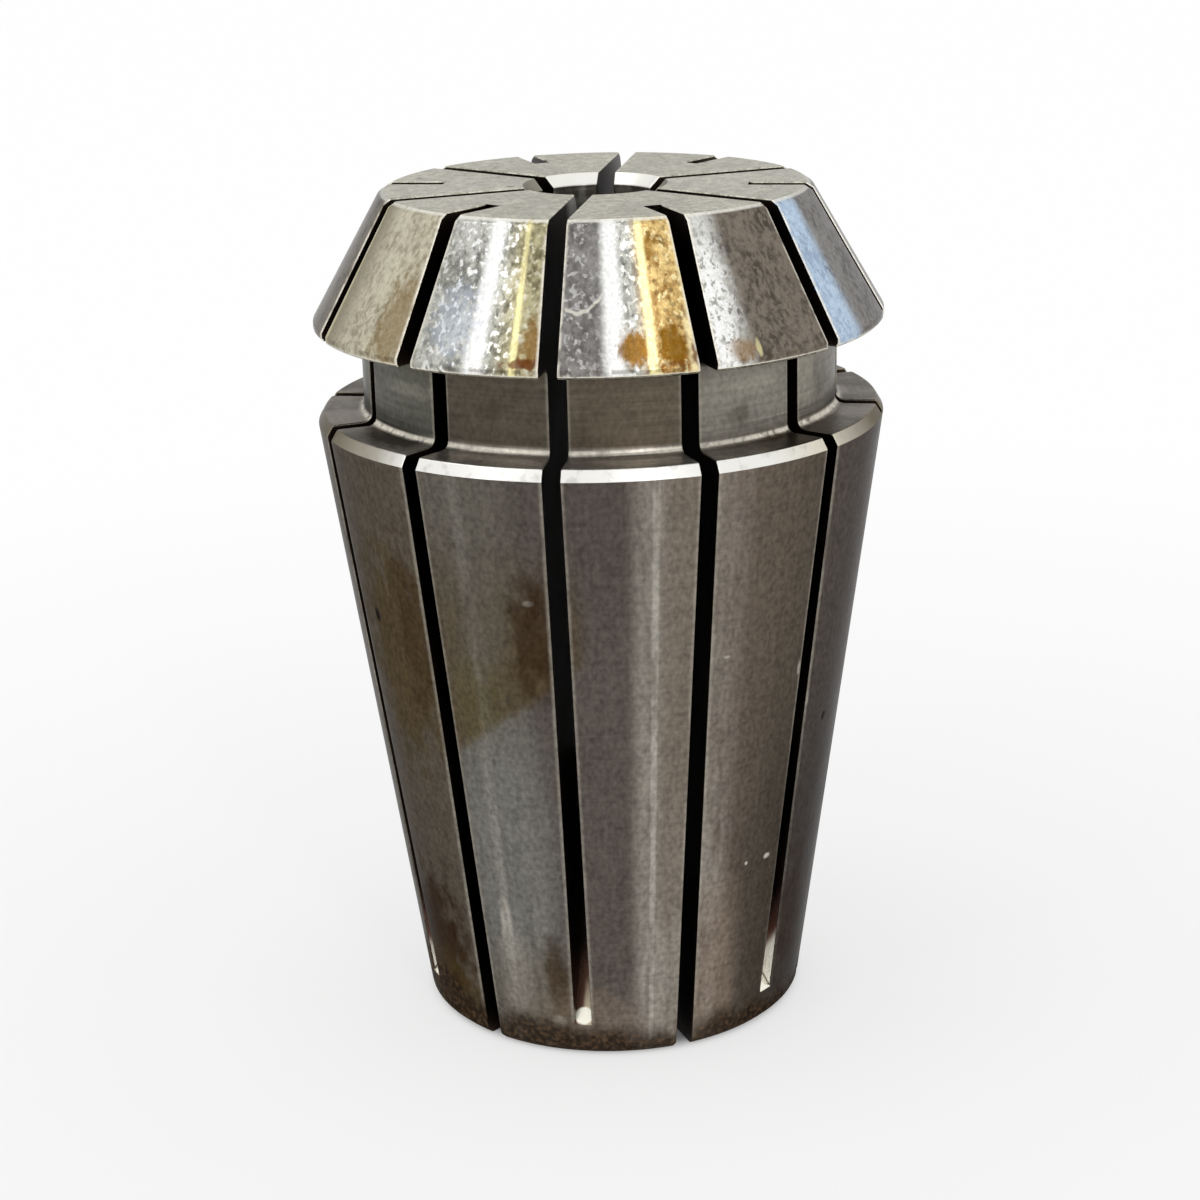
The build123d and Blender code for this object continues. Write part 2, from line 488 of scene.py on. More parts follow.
def ground_taper():
    """Ground steel gone dull: fine lines, rubbed streaks with painted highlights, a painted
    blue-grey reflection, painted shade low on the right, wear with painted highlights along the
    slots, oil stains and dirt at the foot.
    """
    f = Finish("ground_taper")
    grey, dull, warm = tone(96, 91, 83), tone(86, 79, 74), tone(105, 94, 84)
    light, brown, burnish_sheen = tone(122, 113, 102), tone(88, 80, 70), tone(170, 165, 156)
    blue_grey, tan, bright_metal = tone(124, 123, 118), tone(134, 119, 106), tone(206, 200, 188)
    oil, dark_oil, green_oil = tone(82, 66, 36), tone(52, 34, 18), tone(92, 84, 48)
    pit, dirt, rust = tone(30, 22, 16), tone(42, 33, 25), tone(94, 72, 52)
    cloud, lines = f.grain(0.35, 0.2, 3.0), f.lay(f.z, 9.0)
    mottle, fine = f.grain(1.6, 1.2, 4.0, 4.0), f.grain(6.0, 4.5, 1.0, 2.0)
    drawn, brushed = f.grain(1.8, 0.1, 2.0, 9.0), f.grain(4.5, 0.3, 2.0, 15.0)
    ragged = swing(mottle) * 1.8

    colour = f.round_ramp(
        (-180, grey), (-110, dull), (-70, brown), (-33, brown), (-26, grey), (-12, grey),
        (-5, dull), (13, dull), (22, light), (37, warm), (55, brown), (64, dull), (90, dull),
        (130, warm), (180, grey),
    )
    # A painted blue-grey reflection on the front segment.
    colour = f.blend(colour, blue_grey, f.patch(-17, 7.5, 15, 8, ragged * 0.4) * 0.6)
    # Rubbed bands: lower roughness, and a lighter colour that is a painted highlight.
    burnish_and_sheen = taper_burnish_and_sheen(f, ragged)
    colour = f.blend(colour, burnish_sheen, burnish_and_sheen * f.rise(drawn, 0.2, 0.55))
    # Painted shade low down on the right side, and painted light on the front below mid height.
    painted_shade = f.between(f.azimuth, 33, 53, 90, 105) * f.rise(f.z, 19, 6)
    colour = f.shade(colour, 1 - painted_shade * 0.34)
    lit = f.rise(f.z, 19, 15) * f.rise(abs(f.azimuth - 8), 12, 9)
    colour = f.shade(colour, 1 + lit * 0.13)

    stain = taper_stain(f, ragged, cloud)
    colour = f.blend(colour, oil, stain * 0.64)
    colour = f.blend(colour, dark_oil, taper_deep_oil(f, ragged) * 0.85)
    colour = f.blend(colour, green_oil, f.patch(-21, 14.4, 6.5, 1.7, ragged * 1.2) * 0.4)
    rubbed = f.patches(ragged, (2, 1.6, 17, 1.3, 0.8, 0.5), (37, 2.4, 9, 5, 0.5, 0.7))
    colour = f.blend(colour, tan, rubbed)
    oily_foot = f.patches(ragged, (-12, 2.2, 17, 2.6, 0.5, 0.3), (-48, 1.0, 18, 2.2, 0.5, 0.6))
    colour = f.blend(colour, oil, oily_foot)
    pits = most(f.patch(-50, 16.8, 1.3, 0.3), f.patch(72, 12.2, 1.2, 0.2))
    colour = f.blend(colour, pit, pits)
    colour = f.blend(colour, bright_metal, taper_nicks(f, ragged) * 0.85)
    # Slot edges: wear with a painted highlight, kept darker as painted shade low on the sides.
    edge_wear_and_glint = f.slot_edge(0.17) * f.rise(drawn, 0.2, 0.5) * f.rise(f.z, 1.0, 1.8)
    edge_in_shade = f.rise(abs(f.azimuth), 45, 58) * f.rise(f.z, 14, 8)
    colour = f.blend(colour, EDGE_WEAR_AND_GLINT, edge_wear_and_glint * (1 - edge_in_shade * 0.7) * 0.5)

    # Dirt at the foot, with rusty specks.
    climb = f.between(f.azimuth, -140, -100, -50, -30) * 1.2 + f.streak(14, 16) * 0.3
    grime_and_shade = f.rise(f.z - climb + swing(cloud) * 3 + ragged * 0.5, 1.45, 0.45)
    rusty = f.rise(f.grain(5.0, 5.0, 4.0, 11.0), 0.4, 0.76)
    colour = f.blend(colour, f.blend(dirt, rust, rusty), grime_and_shade * 0.88)
    marks = 0.84 + 0.32 * lines + swing(fine) + swing(mottle) * 0.3 + swing(brushed) * 0.4
    colour = f.shade(colour, marks)
    roughness = 0.36 + swing(cloud) * 0.2 + stain * 0.1 + grime_and_shade * 0.2 - burnish_and_sheen * 0.12
    roughness = roughness + swing(lines) * 0.1
    relief = lines * 0.5 + mottle + fine * 0.3 - pits * 2.0
    return f.steel(colour, roughness, relief, 0.009, drawn=0.5)


def flange_bevel():
    """The bevel at the top of the taper: a painted highlight along its front and painted shade at
    its sides.
    """
    f = Finish("flange_bevel")
    bright, pale, dim = tone(238, 237, 232), tone(214, 208, 190), tone(150, 142, 128)
    grey, brown = tone(170, 165, 152), tone(122, 114, 98)
    mottle = f.grain(3.0, 3.0, 2.0)
    # By azimuth: white on the front as a painted highlight, browner and darker at the sides as
    # painted shade.
    colour = f.round_ramp(
        (-180, grey), (-95, brown), (-57, brown), (-40, grey), (-31, bright), (42, bright),
        (58, pale), (68, grey), (80, brown), (92, brown), (115, grey), (180, grey),
    )
    colour = f.blend(colour, dim, f.rise(mottle, 0.5, 0.8) * 0.35)
    return f.steel(colour, 0.22 + mottle * 0.15, mottle, 0.004)


def turned_groove():
    """Turned steel, dull and brownish, with painted shade under the rim, a painted highlight along
    its foot and on the front of its ledge.
    """
    f = Finish("turned_groove")
    grey, green_grey, brown = tone(130, 126, 117), tone(91, 90, 82), tone(84, 78, 68)
    warm, rubbed, bright = tone(94, 85, 73), tone(150, 146, 132), tone(214, 208, 194)
    film, grime_and_shade, old_oil = tone(56, 47, 35), tone(60, 53, 44), tone(52, 42, 30)
    bright_metal, dim = tone(216, 208, 199), tone(116, 107, 94)
    cloud, mottle = f.grain(0.5, 0.5, 3.0, 2.0), f.grain(3.0, 2.0, 3.0, 5.0)
    fine, lines = f.grain(6.0, 5.0, 1.0), f.lay(f.z - f.radius, 6.0)
    colour = f.round_ramp(
        (-180, warm), (-110, brown), (-60, green_grey), (-33, green_grey), (-27, brown),
        (-3, brown), (3, warm), (27, warm), (33, grey), (90, grey), (115, green_grey),
        (180, warm),
    )
    colour = f.blend(colour, film, f.rise(cloud, 0.55, 0.75) * 0.45)
    # Painted shade under the rim.
    under_rim = f.rise(f.z + swing(mottle), RIM_UNDERSIDE - 0.8, RIM_UNDERSIDE)
    colour = f.blend(colour, grime_and_shade, under_rim * 0.5)
    wiped = f.patches(
        swing(mottle) * 2.0, (-40, 25.3, 10, 0.3, 1, 0.28), (47, 25.5, 10, 0.3, 1, 0.4),
        (66, 25.2, 4, 1.2, 1, 0.4),
    )
    colour = f.blend(colour, rubbed, wiped)
    # The ledge: lighter on the front as a painted highlight, darker at the sides, with old oil and
    # cloudy darker spots.
    ledge = f.rise(f.z, BODY_TOP + 0.4, BODY_TOP + 0.1)
    ledge_tone_and_sheen = f.blend(bright_metal, dim, f.rise(abs(f.azimuth), 33, 52))
    blotch = f.patch(-43, BODY_TOP, 9, 1) * f.rise(f.radius + swing(mottle), 9.9, 9.5)
    ledge_tone_and_sheen = f.blend(ledge_tone_and_sheen, old_oil, blotch * 0.75)
    ledge_tone_and_sheen = f.shade(ledge_tone_and_sheen, 1 - f.rise(cloud, 0.4, 0.6) * 0.45)
    colour = f.blend(colour, ledge_tone_and_sheen, ledge)
    # A painted highlight along the groove's foot fillet.
    foot = f.ring(BODY_TOP + 0.14, 0.13) * f.rise(f.radius, 9.3, 9.0)
    colour = f.blend(colour, bright, foot * f.rise(mottle, 0.3, 0.5) * 0.85)
    # Slot edges: wear with a painted highlight.
    colour = f.blend(colour, EDGE_WEAR_AND_GLINT, f.slot_edge(0.14) * 0.35)
    colour = f.shade(colour, 0.7 + 0.6 * lines + swing(fine) * 0.7 + swing(mottle) * 0.4)
    roughness = 0.36 + swing(cloud) * 0.25
    return f.steel(colour, roughness, lines + mottle * 0.5, 0.015, drawn=0.5, rim=0.7)


def nose_tones(f):
    """Colours round the nose cone, a pair a tone: its dull ground, and a lighter copy that paints
    the sheen of its shining spots.
    """
    beige = tone(156, 148, 128), tone(202, 196, 174)
    dusk = tone(152, 145, 130), tone(184, 178, 161)
    smoke = tone(106, 103, 101), tone(144, 141, 138)
    silver = tone(126, 126, 118), tone(196, 196, 188)
    gold = tone(142, 96, 42), tone(230, 200, 134)
    umber = tone(80, 73, 65), tone(126, 117, 106)
    olive = tone(116, 109, 82), tone(186, 178, 142)
    # The blue pair is a painted reflection.
    blue = tone(154, 173, 196), tone(190, 210, 230)
    even_beige, even_silver = (beige[0], beige[0]), (silver[1], silver[1])
    smoky_silver = smoke[1], silver[1]
    stops = (
        (-180, dusk), (-100, dusk), (-66, umber), (-55, even_beige), (-48, beige),
        (-33, beige), (-27, silver), (-12, silver), (-8, olive), (-3, olive), (2, smoke),
        (9, smoke), (15, silver), (17, silver), (20, gold), (29, gold), (31, even_silver),
        (37, smoky_silver), (41, umber), (58, umber), (61, blue), (68.5, blue), (72, smoke),
        (90, smoke), (120, dusk), (180, dusk),
    )
    return (f.round_ramp(*((azimuth, pair[i]) for azimuth, pair in stops)) for i in (0, 1))


def nose_highlight_streaks(f, ragged, mottle, dark_speckle):
    """Painted highlights: white streaks down the nose cone."""
    even = f.streaks(
        ragged, (-14.5, 2.4, 0.4, 0.92), (12.4, 2.4, 0.35, 0.95), (28.6, 1.5, 0.45, 0.85),
        (92, 0.7, 0.3, 0.6), (-131, 2.0, 0.4, 0.7), (140, 2.2, 0.4, 0.7),
    )
    low = f.streak(27.2, 1.0, ragged * 0.4) * f.rise(f.z, 28.7, 28.1)
    broken = f.streak(33.4, 5.6, ragged * 1.1) * f.rise(mottle, 0.3, 0.46)
    broken = broken * f.rise(dark_speckle, 0.36, 0.46)
    return most(even, low * 0.75, broken * (0.97 - f.rise(f.z, 29.8, 31.0) * 0.6))


def nose_stains(f, colour, ragged):
    """A colour with the nose cone's marks laid on: oil, gold patches, painted yellow highlights
    and rust.
    """
    oil, straw = tone(128, 104, 60), tone(134, 94, 28)
    yellow, rust = tone(250, 240, 178), tone(104, 56, 26)
    oiled = f.patch(-35.0, 27.9, 6, 1.9, ragged * 0.6)
    gold_patches = f.patches(
        ragged, (-3.2, 27.7, 2.6, 0.8, 0.8, 0.8), (16.2, 27.55, 3.4, 0.62, 0.5, 1),
        (23.5, 27.6, 3.2, 0.7, 0.5, 1), (21.5, 30.6, 2.2, 0.5, 0.8, 0.7),
        (37.5, 27.2, 3.2, 0.4, 0.5, 0.7),
    )
    fading_up = 0.5 + f.rise(f.z, 30.2, 28.8) * 0.4
    # Painted yellow highlights: streaks and a small drop.
    gleam = most(
        f.patch(41.0, 27.2, 0.6, 0.3, ragged * 0.4) * 0.5,
        f.streaks(
            ragged, (-6.8, 0.85, 0.35, fading_up), (19.6, 1.1, 0.35, 0.9), (-57.5, 0.8, 0.3, 0.4)
        ),
    )
    rusted = f.patches(
        ragged, (-4.0, 27.1, 5.0, 0.16, 1, 1), (28.2, 27.3, 1.3, 0.5, 0.6, 1),
        (23.5, 27.0, 4.0, 0.1, 0.6, 0.6),
    )
    colour = f.blend(colour, oil, oiled * 0.65)
    colour = f.blend(colour, straw, gold_patches * 0.95)
    colour = f.blend(colour, yellow, gleam)
    return f.blend(colour, rust, rusted * 0.85)


def nose_cone():
    """The cone under the nut: with a polish, mottled and gold-patched, with painted sheen and
    painted highlights streaked along its length.
    """
    f = Finish("nose_cone")
    white, straw_white, bluish = tone(251, 251, 249), tone(250, 236, 186), tone(202, 212, 228)
    line_tone, rim, under_rim = tone(226, 222, 210), tone(236, 230, 212), tone(84, 66, 46)
    top_edge_glint, slot_edge_wear_and_glint = tone(240, 238, 228), tone(236, 230, 216)
    mottle, blotch = f.grain(4.2, 3.0, 4.0), f.grain(0.9, 0.6, 3.0, 7.0)
    speckle, dark_speckle = f.grain(5.0, 3.6, 2.0, 14.0), f.grain(5.0, 3.6, 2.0, 21.0)
    drawn, fine = f.grain(3.0, 0.5, 2.0, 3.0), f.grain(9.0, 8.0, 1.0, 5.0)
    lines = f.lay(f.z - f.radius, 5.0)
    ragged = swing(mottle) * 2.2

    dull, shining = nose_tones(f)
    colour = f.blend(dull, shining, f.rise(mottle * 0.55 + blotch * 0.45, 0.36, 0.62))
    # Where the cone shines most: it carries the painted sparkle of cream flecks and deeper dark
    # specks.
    polished_sheen = most(
        f.streak(-15, 14), f.streak(22, 13), f.streak(5, 5) * 0.4,
        f.streak(-135, 16) * 0.6, f.streak(150, 16) * 0.6,
    )
    colour = f.blend(colour, shining, f.rise(speckle, 0.52, 0.6) * 0.8)
    colour = f.shade(colour, 1 - f.rise(dark_speckle, 0.45, 0.36) * (0.1 + polished_sheen * 0.3))
    streaks = nose_highlight_streaks(f, ragged, mottle, dark_speckle)
    # Painted highlights: cream flecks where the cone shines most, and the white streaks.
    cream = f.blend(white, straw_white, f.between(f.azimuth, 16.5, 19, 30, 31))
    fewer = 0.8 - f.streak(-6, 3.5) * 0.35 - f.streak(23, 5) * 0.2
    colour = f.blend(colour, cream, f.rise(speckle, 0.55, 0.66) * polished_sheen * fewer)
    colour = f.blend(colour, cream, streaks)
    # A painted bluish reflection.
    colour = f.blend(colour, bluish, f.patch(-20.5, 28.3, 5, 1.2, ragged) * 0.4)
    colour = nose_stains(f, colour, ragged)

    aside = f.azimuth - 5.9
    waved = swing(blotch) * 0.5
    level = f.z - 28.64 - aside * aside * 0.026 + waved + swing(mottle) * 0.15
    scratch = f.rise(abs(level), 0.09, 0.03) * f.rise(abs(aside - 0.8), 4.2, 3.6)
    colour = f.blend(colour, line_tone, scratch * f.rise(mottle, 0.3, 0.45) * 0.75)
    # A painted highlight along the lower edge of the rim.
    foot = f.ring(RIM_UNDERSIDE + 0.06, 0.09) * f.rise(drawn, 0.3, 0.45)
    colour = f.blend(colour, rim, foot * 0.85)
    oily_line = f.ring(CONE_FOOT - 0.04, 0.1) * f.rise(drawn, 0.45, 0.6)
    colour = f.blend(colour, under_rim, oily_line * 0.45)
    # A painted highlight along the top edge.
    edge = f.rise(f.z, LENGTH - 0.13, LENGTH - 0.07) * f.rise(drawn, 0.2, 0.4)
    colour = f.blend(colour, top_edge_glint, edge * 0.75)
    # Slot edges: wear and a painted highlight.
    sawn_edge_wear_and_glint = f.slot_edge(0.14) * f.rise(drawn, 0.3, 0.5)
    colour = f.blend(colour, slot_edge_wear_and_glint, sawn_edge_wear_and_glint * 0.7)
    colour = f.shade(colour, 0.94 + 0.12 * lines + swing(fine) * 0.45)
    roughness = 0.26 + swing(mottle) * 0.25 - streaks * 0.04
    return f.steel(colour, roughness, mottle + lines * 0.3, 0.012, drawn=0.3, rim=0.6)


def nose_face():
    """The end face: fine-turned, pale and even, with dark pits, and slot edges with wear and a
    painted highlight.
    """
    f = Finish("nose_face")
    turned_grey, pale = tone(166, 163, 146), tone(188, 185, 169)
    pit, sawn_wear_and_glint = tone(84, 74, 60), tone(222, 220, 206)
    mottle, cloud = f.grain(3.0, 3.0, 4.0), f.grain(0.5, 0.5, 2.0, 6.0)
    fine, lines = f.grain(9.0, 9.0, 1.0), f.lay(f.radius, 8.0)
    colour = f.blend(turned_grey, pale, f.rise(mottle * 0.5 + cloud * 0.5, 0.35, 0.65))

    def dent(x, y, size):
        """A small round dent at a place on the face."""
        return f.rise(length_of(f.x - x, f.y - y) + swing(mottle) * 0.3, size, 0.5 * size)

    dents = most(
        dent(3.4, 5.0, 0.24), dent(-3.0, 5.6, 0.2), dent(-3.0, -0.7, 0.2),
        dent(-6.8, 1.1, 0.2), dent(-1.9, -5.4, 0.1),
    )
    colour = f.blend(colour, pit, most(dents, f.specks(0.55, 0.07) * 0.7) * 0.8)
    tail_slot_end = f.rise(f.radius, REAR_SLOT_END - 0.05, REAR_SLOT_END + 0.1)
    open_slot = most(tail_slot_end, f.rise(f.off_nose_slot(), 16.0, 14.0))
    # Slot edges where the slots open on the face: wear and a painted highlight.
    edges = f.slot_edge(0.1) * open_slot * f.rise(mottle, 0.4, 0.55)
    colour = f.blend(colour, sawn_wear_and_glint, edges * 0.4)
    colour = f.shade(colour, 0.9 + 0.2 * lines + swing(fine) * 1.1 + swing(mottle) * 0.6)
    roughness = 0.34 + swing(cloud) * 0.2
    return f.steel(colour, roughness, lines + mottle * 0.4, 0.008, drawn=0.3, rim=0.8)


def bore():
    """The bored hole, smooth and grey, and its mouth's chamfer, with a painted highlight at the
    back.
    """
    f = Finish("bore")
    mottle, lines = f.grain(3.0, 1.0, 3.0), f.lay(f.z, 5.0)
    colour = f.blend(tone(110, 105, 96), tone(160, 157, 148), f.rise(mottle, 0.4, 0.65))
    # The chamfer is lighter at the back: a painted highlight.
    mouth = f.blend(FACED, tone(248, 247, 240), f.rise(abs(f.azimuth), 110, 122))
    chamfer_foot = LENGTH - MOUTH_CHAMFER
    chamfer = f.rise(f.z, chamfer_foot - 0.05, chamfer_foot + 0.05)
    colour = f.blend(colour, mouth, chamfer * 0.9)
    return f.steel(colour, 0.26 + lines * 0.15, lines + mottle * 0.3, 0.01, drawn=0.3)


def tail():
    """The tail face and its edges: turned steel with oily dirt gathered on it."""
    f = Finish("tail")
    mottle, lines = f.grain(1.6, 1.6, 3.0, 8.0), f.lay(f.radius + f.z, 7.0)
    colour = f.blend(tone(96, 87, 74), tone(58, 47, 36), f.rise(mottle, 0.42, 0.62))
    return f.steel(colour, 0.4 + swing(mottle) * 0.3, lines + mottle * 0.5, 0.012, drawn=0.3)


def slot_wall():
    """The slot's sides, cut by the saw: dark with old oil, with painted light near the bore's
    mouth, a lighter brown and then a painted highlight at the saw's exit, and a painted dark line
    along the saw's rim.
    """
    f = Finish("slot_wall")
    old_oil, thin_oil, lit_wall = tone(40, 32, 28), tone(66, 54, 46), tone(226, 226, 222)
    brown, bright_metal, line_tone = tone(164, 130, 118), tone(255, 254, 248), tone(70, 64, 54)
    cloud, lines = f.grain(0.4, 0.4, 2.0, 1.0), f.lay(f.z * 0.3 + f.radius, 7.0)
    colour = f.blend(old_oil, thin_oil, f.rise(cloud, 0.35, 0.7))
    # Painted light on the walls near the bore's mouth.
    mouth = f.rise(f.radius, 4.6, 3.2) * f.rise(f.z, 28.5, 30.5)
    mouth = mouth * f.rise(abs(f.azimuth), 25, 15)
    colour = f.blend(colour, lit_wall, mouth * 0.9)
    # Near the shallow ends of the side slots: a lighter brown, painted light, then white, a
    # painted highlight.
    outer_ends = f.side_slots() * f.rise(f.off_nose_slot(), 12.0, 8.0)
    inward = (f.z - FRONT_SLOT_END) * TAPER_SLOPE + taper_radius(FRONT_SLOT_END) - f.radius
    level = f.z + inward * 1.4 + swing(cloud) + f.oiled_side()
    colour = f.blend(colour, brown, f.rise(level, 6.2, 4.6) * outer_ends)
    saw_exit_glint = f.rise(level, 4.1, 3.4) * outer_ends
    colour = f.blend(colour, bright_metal, saw_exit_glint)
    # Painted shade: a dark line along the saw's rim, in the crease with the floor.
    from_rim = length_of(SAW_AXIS - f.radius, FRONT_CENTRE - f.z) - SAW_RADIUS
    corner = f.rise(abs(from_rim), 0.06, 0.02) * f.rise(f.z, 8, 6)
    colour = f.blend(colour, line_tone, corner * 0.7)
    roughness = 0.42 + swing(cloud) * 0.2 + saw_exit_glint * 0.4
    return f.steel(colour, roughness, lines, 0.012, rim=0.9)


def saw_runout():
    """The curved floor that the saw leaves: oily inside, lighter where it shows as painted light,
    and a bright drop at its shallow end as a painted highlight.
    """
    f = Finish("saw_runout")
    old_oil, brown, lit_floor = tone(44, 37, 33), tone(92, 66, 54), tone(172, 158, 136)
    bright_metal = tone(244, 241, 226)
    mottle = f.grain(4.0, 2.0, 2.0)
    colour = f.blend(old_oil, brown, f.rise(f.z, 3.9, 2.9))
    # A lighter floor on the right half of the front slot and on the other floors, painted light
    # where the floor shows.
    right_half = most(f.rise(f.x, -0.1, 0.06), f.rise(abs(f.x), 0.4, 0.6))
    colour = f.blend(colour, lit_floor, f.rise(f.z, 3.0, 1.9) * right_half)
    # Painted highlights: a drop at the front slot's end and white at the side slots' shallow ends.
    across = f.radius * maths("SINE", f.off_nose_slot() * math.radians(1))
    from_drop = length_of(across / 0.33, (f.z - 1.57) / 0.26) + swing(mottle) * 0.3
    exit_glints = f.side_slots() * f.rise(f.z, 5.0, 4.2) * (1 - f.oiled_side() * 0.8)
    colour = f.blend(colour, bright_metal, most(f.rise(from_drop, 1.15, 0.85), exit_glints))
    colour = f.blend(colour, FACED, f.rise(f.z, 30.6, 31.3))
    return f.steel(colour, 0.3 + swing(mottle) * 0.2, mottle, 0.01)


FINISHES = (
    ground_taper, flange_bevel, turned_groove, nose_cone, nose_face,
    bore, tail, slot_wall, saw_runout,
)


# -- slotted body
def around(radius, azimuth, height):
    """Places or normals round the axis: (r sin a, -r cos a, z)."""
    flat = radius * np.sin(azimuth), -radius * np.cos(azimuth)
    return np.stack([*flat, np.broadcast_to(height, flat[0].shape)], -1)


def edge_depth(rows, low, high):
    """Depth of the rounded slot edge on each row: none outside low to high, all inside."""
    return np.clip(np.minimum(rows - low, high - rows) * 0.5, 0, SLOT_ROUND)


# One grid of the surface: its places and normals, and which quads to keep with which finish.
Patch = namedtuple("Patch", "places normals keep finish")


def turned_patch():
    """The turned surfaces of one sector, from the middle of a nose-side slot to a tail-side one.

    A point is (r sin a, -r cos a, z). Beside a slot the azimuth a is asin(y / r) for a distance
    y from the slot's middle plane. The slot's edge is a quarter of an ellipse: with f from 90
    to 0 degrees, y is half the slot plus e (1 - sin f) and the point sinks by d (1 - cos f).
    """
    radius, height, across, upward, rows, crossings = section_rows()
    front_low, rear_low = crossings["front_outer"], crossings["rear_inner"]
    rear_high = crossings["rear_outer"]
    front_depth = edge_depth(rows, front_low, rows[-1])
    rear_depth = np.maximum(
        edge_depth(rows, rear_low, np.inf), edge_depth(rows, -np.inf, rear_high)
    )
    sweep = np.radians(np.array([90, 67.5, 45, 22.5, 0]))
    strip = SLOT_HALF * np.array([0, 0.5])
    edge = SLOT_HALF + SLOT_ROUND * (1 - np.sin(sweep))
    beside = np.array([SLOT_HALF + 3 * SLOT_ROUND])
    side = np.concatenate([strip, edge, beside])
    sunk = np.concatenate([0 * strip, 1 - np.cos(sweep), [0]])
    lean = np.concatenate([0 * strip + 1, np.cos(sweep), [1]])

    def half(depth):
        """Azimuths, places and normals of the columns beside one slot, at azimuth 0."""
        depth = depth[:, None]
        r = radius[:, None] - depth * sunk * across[:, None]
        z = height[:, None] - depth * sunk * upward[:, None]
        azimuth = np.arcsin(side / r)
        tip = np.where(lean < 1, np.sqrt(1 - lean**2), 0) * depth / SLOT_ROUND
        face = np.where((lean < HAIR) & (depth < HAIR), 1, np.broadcast_to(lean, tip.shape))
        size = np.hypot(face, tip)
        normal = around(across[:, None] * face / size, azimuth, upward[:, None] * face / size)
        normal[..., 0] -= tip / size
        return azimuth, around(r, azimuth, z), normal

    front_azimuth, front_place, front_normal = half(front_depth)
    rear_azimuth, rear_place, rear_normal = half(rear_depth)
    mirror = mirrored(SECTOR / 2)
    rear_place = (rear_place @ mirror)[:, ::-1]
    rear_normal = (rear_normal @ mirror)[:, ::-1]
    first = front_azimuth[:, -1:]
    last = SECTOR - rear_azimuth[:, -1:]
    azimuth = first + (last - first) * np.linspace(0, 1, COLUMNS_BETWEEN_SLOTS + 1)[1:-1]
    middle_place = around(radius[:, None], azimuth, height[:, None])
    middle_normal = around(across[:, None], azimuth, upward[:, None])
    places = np.concatenate([front_place, middle_place, rear_place], axis=1)
    normals = np.concatenate([front_normal, middle_normal, rear_normal], axis=1)
    low, high = rows[:-1], rows[1:]
    keep = np.ones((len(rows) - 1, places.shape[1] - 1), bool)
    keep[:, : len(strip)] = (high <= front_low + HAIR)[:, None]
    keep[:, -len(strip) :] = ((low >= rear_high - HAIR) & (high <= rear_low + HAIR))[:, None]
    middle = (low + high) / 2
    finish = finish_of(np.interp(middle, rows, radius), np.interp(middle, rows, height))
    patch = Patch(places, normals, keep, np.repeat(finish[:, None], keep.shape[1], 1))
    front_wall = places[rows >= front_low - HAIR, len(strip)]
    inner_rows = np.flatnonzero(rows >= rear_low - HAIR)
    outer_rows = np.flatnonzero(rows <= rear_high + HAIR)[1:]
    rear_wall = places[np.concatenate([inner_rows, outer_rows]), -1 - len(strip)]
    return patch, front_wall, rear_wall


def mirrored(azimuth):
    """Matrix that mirrors row vectors through the upright plane at an azimuth."""
    across = np.array([math.cos(azimuth), math.sin(azimuth), 0])
    return np.eye(3) - 2 * np.outer(across, across)


def turned(azimuth):
    """Matrix that turns row vectors about Z by an azimuth."""
    cos, sin = math.cos(azimuth), math.sin(azimuth)
    return np.array([[cos, sin, 0], [-sin, cos, 0], [0, 0, 1]])


def finish_of(radius, height):
    """Number of the finish on a turned row, from where the row lies.

    A border lies just before its corner, so that the corner's arc has the finish beyond it.
    """
    just, rim_side, number = 0.03, CONE_FOOT - 0.28, FINISHES.index
    finish = np.full(len(radius), number(ground_taper))
    finish[height > TAPER_TOP - 0.02] = number(flange_bevel)
    finish[height > BODY_TOP - just] = number(turned_groove)
    finish[height > rim_side] = number(nose_cone)
    finish[(height > LENGTH - just) & (radius < NOSE_RADIUS)] = number(nose_face)
    mouth, relief = BORE_RADIUS + MOUTH_CHAMFER - 0.01, RELIEF_RADIUS + 0.01
    finish[radius < np.where(height > BORE_END, mouth, relief)] = number(bore)
    inner_edge = (height < RELIEF_CHAMFER) & (radius < RELIEF_RADIUS + 2 * RELIEF_CHAMFER)
    finish[(height < just) | inner_edge] = number(tail)
    return finish


def saw_floor(centre, outer, inner, sign):
    """Floor of a slot's run-out, from its middle plane to its wall, at azimuth 0.

    Along the saw's rim z is centre + sign sqrt(R^2 - (axis - r)^2), with r from outer to inner.
    """
    radius = np.linspace(outer, inner, RUNOUT_STEPS + 1)[:, None]
    height = centre + sign * saw_rise(radius)
    azimuth = np.arcsin(SLOT_HALF * np.array([0, 0.5, 1]) / radius)
    across, upward = (SAW_AXIS - radius) / SAW_RADIUS, (centre - height) / SAW_RADIUS
    return around(radius, azimuth, height), around(across, azimuth, upward)


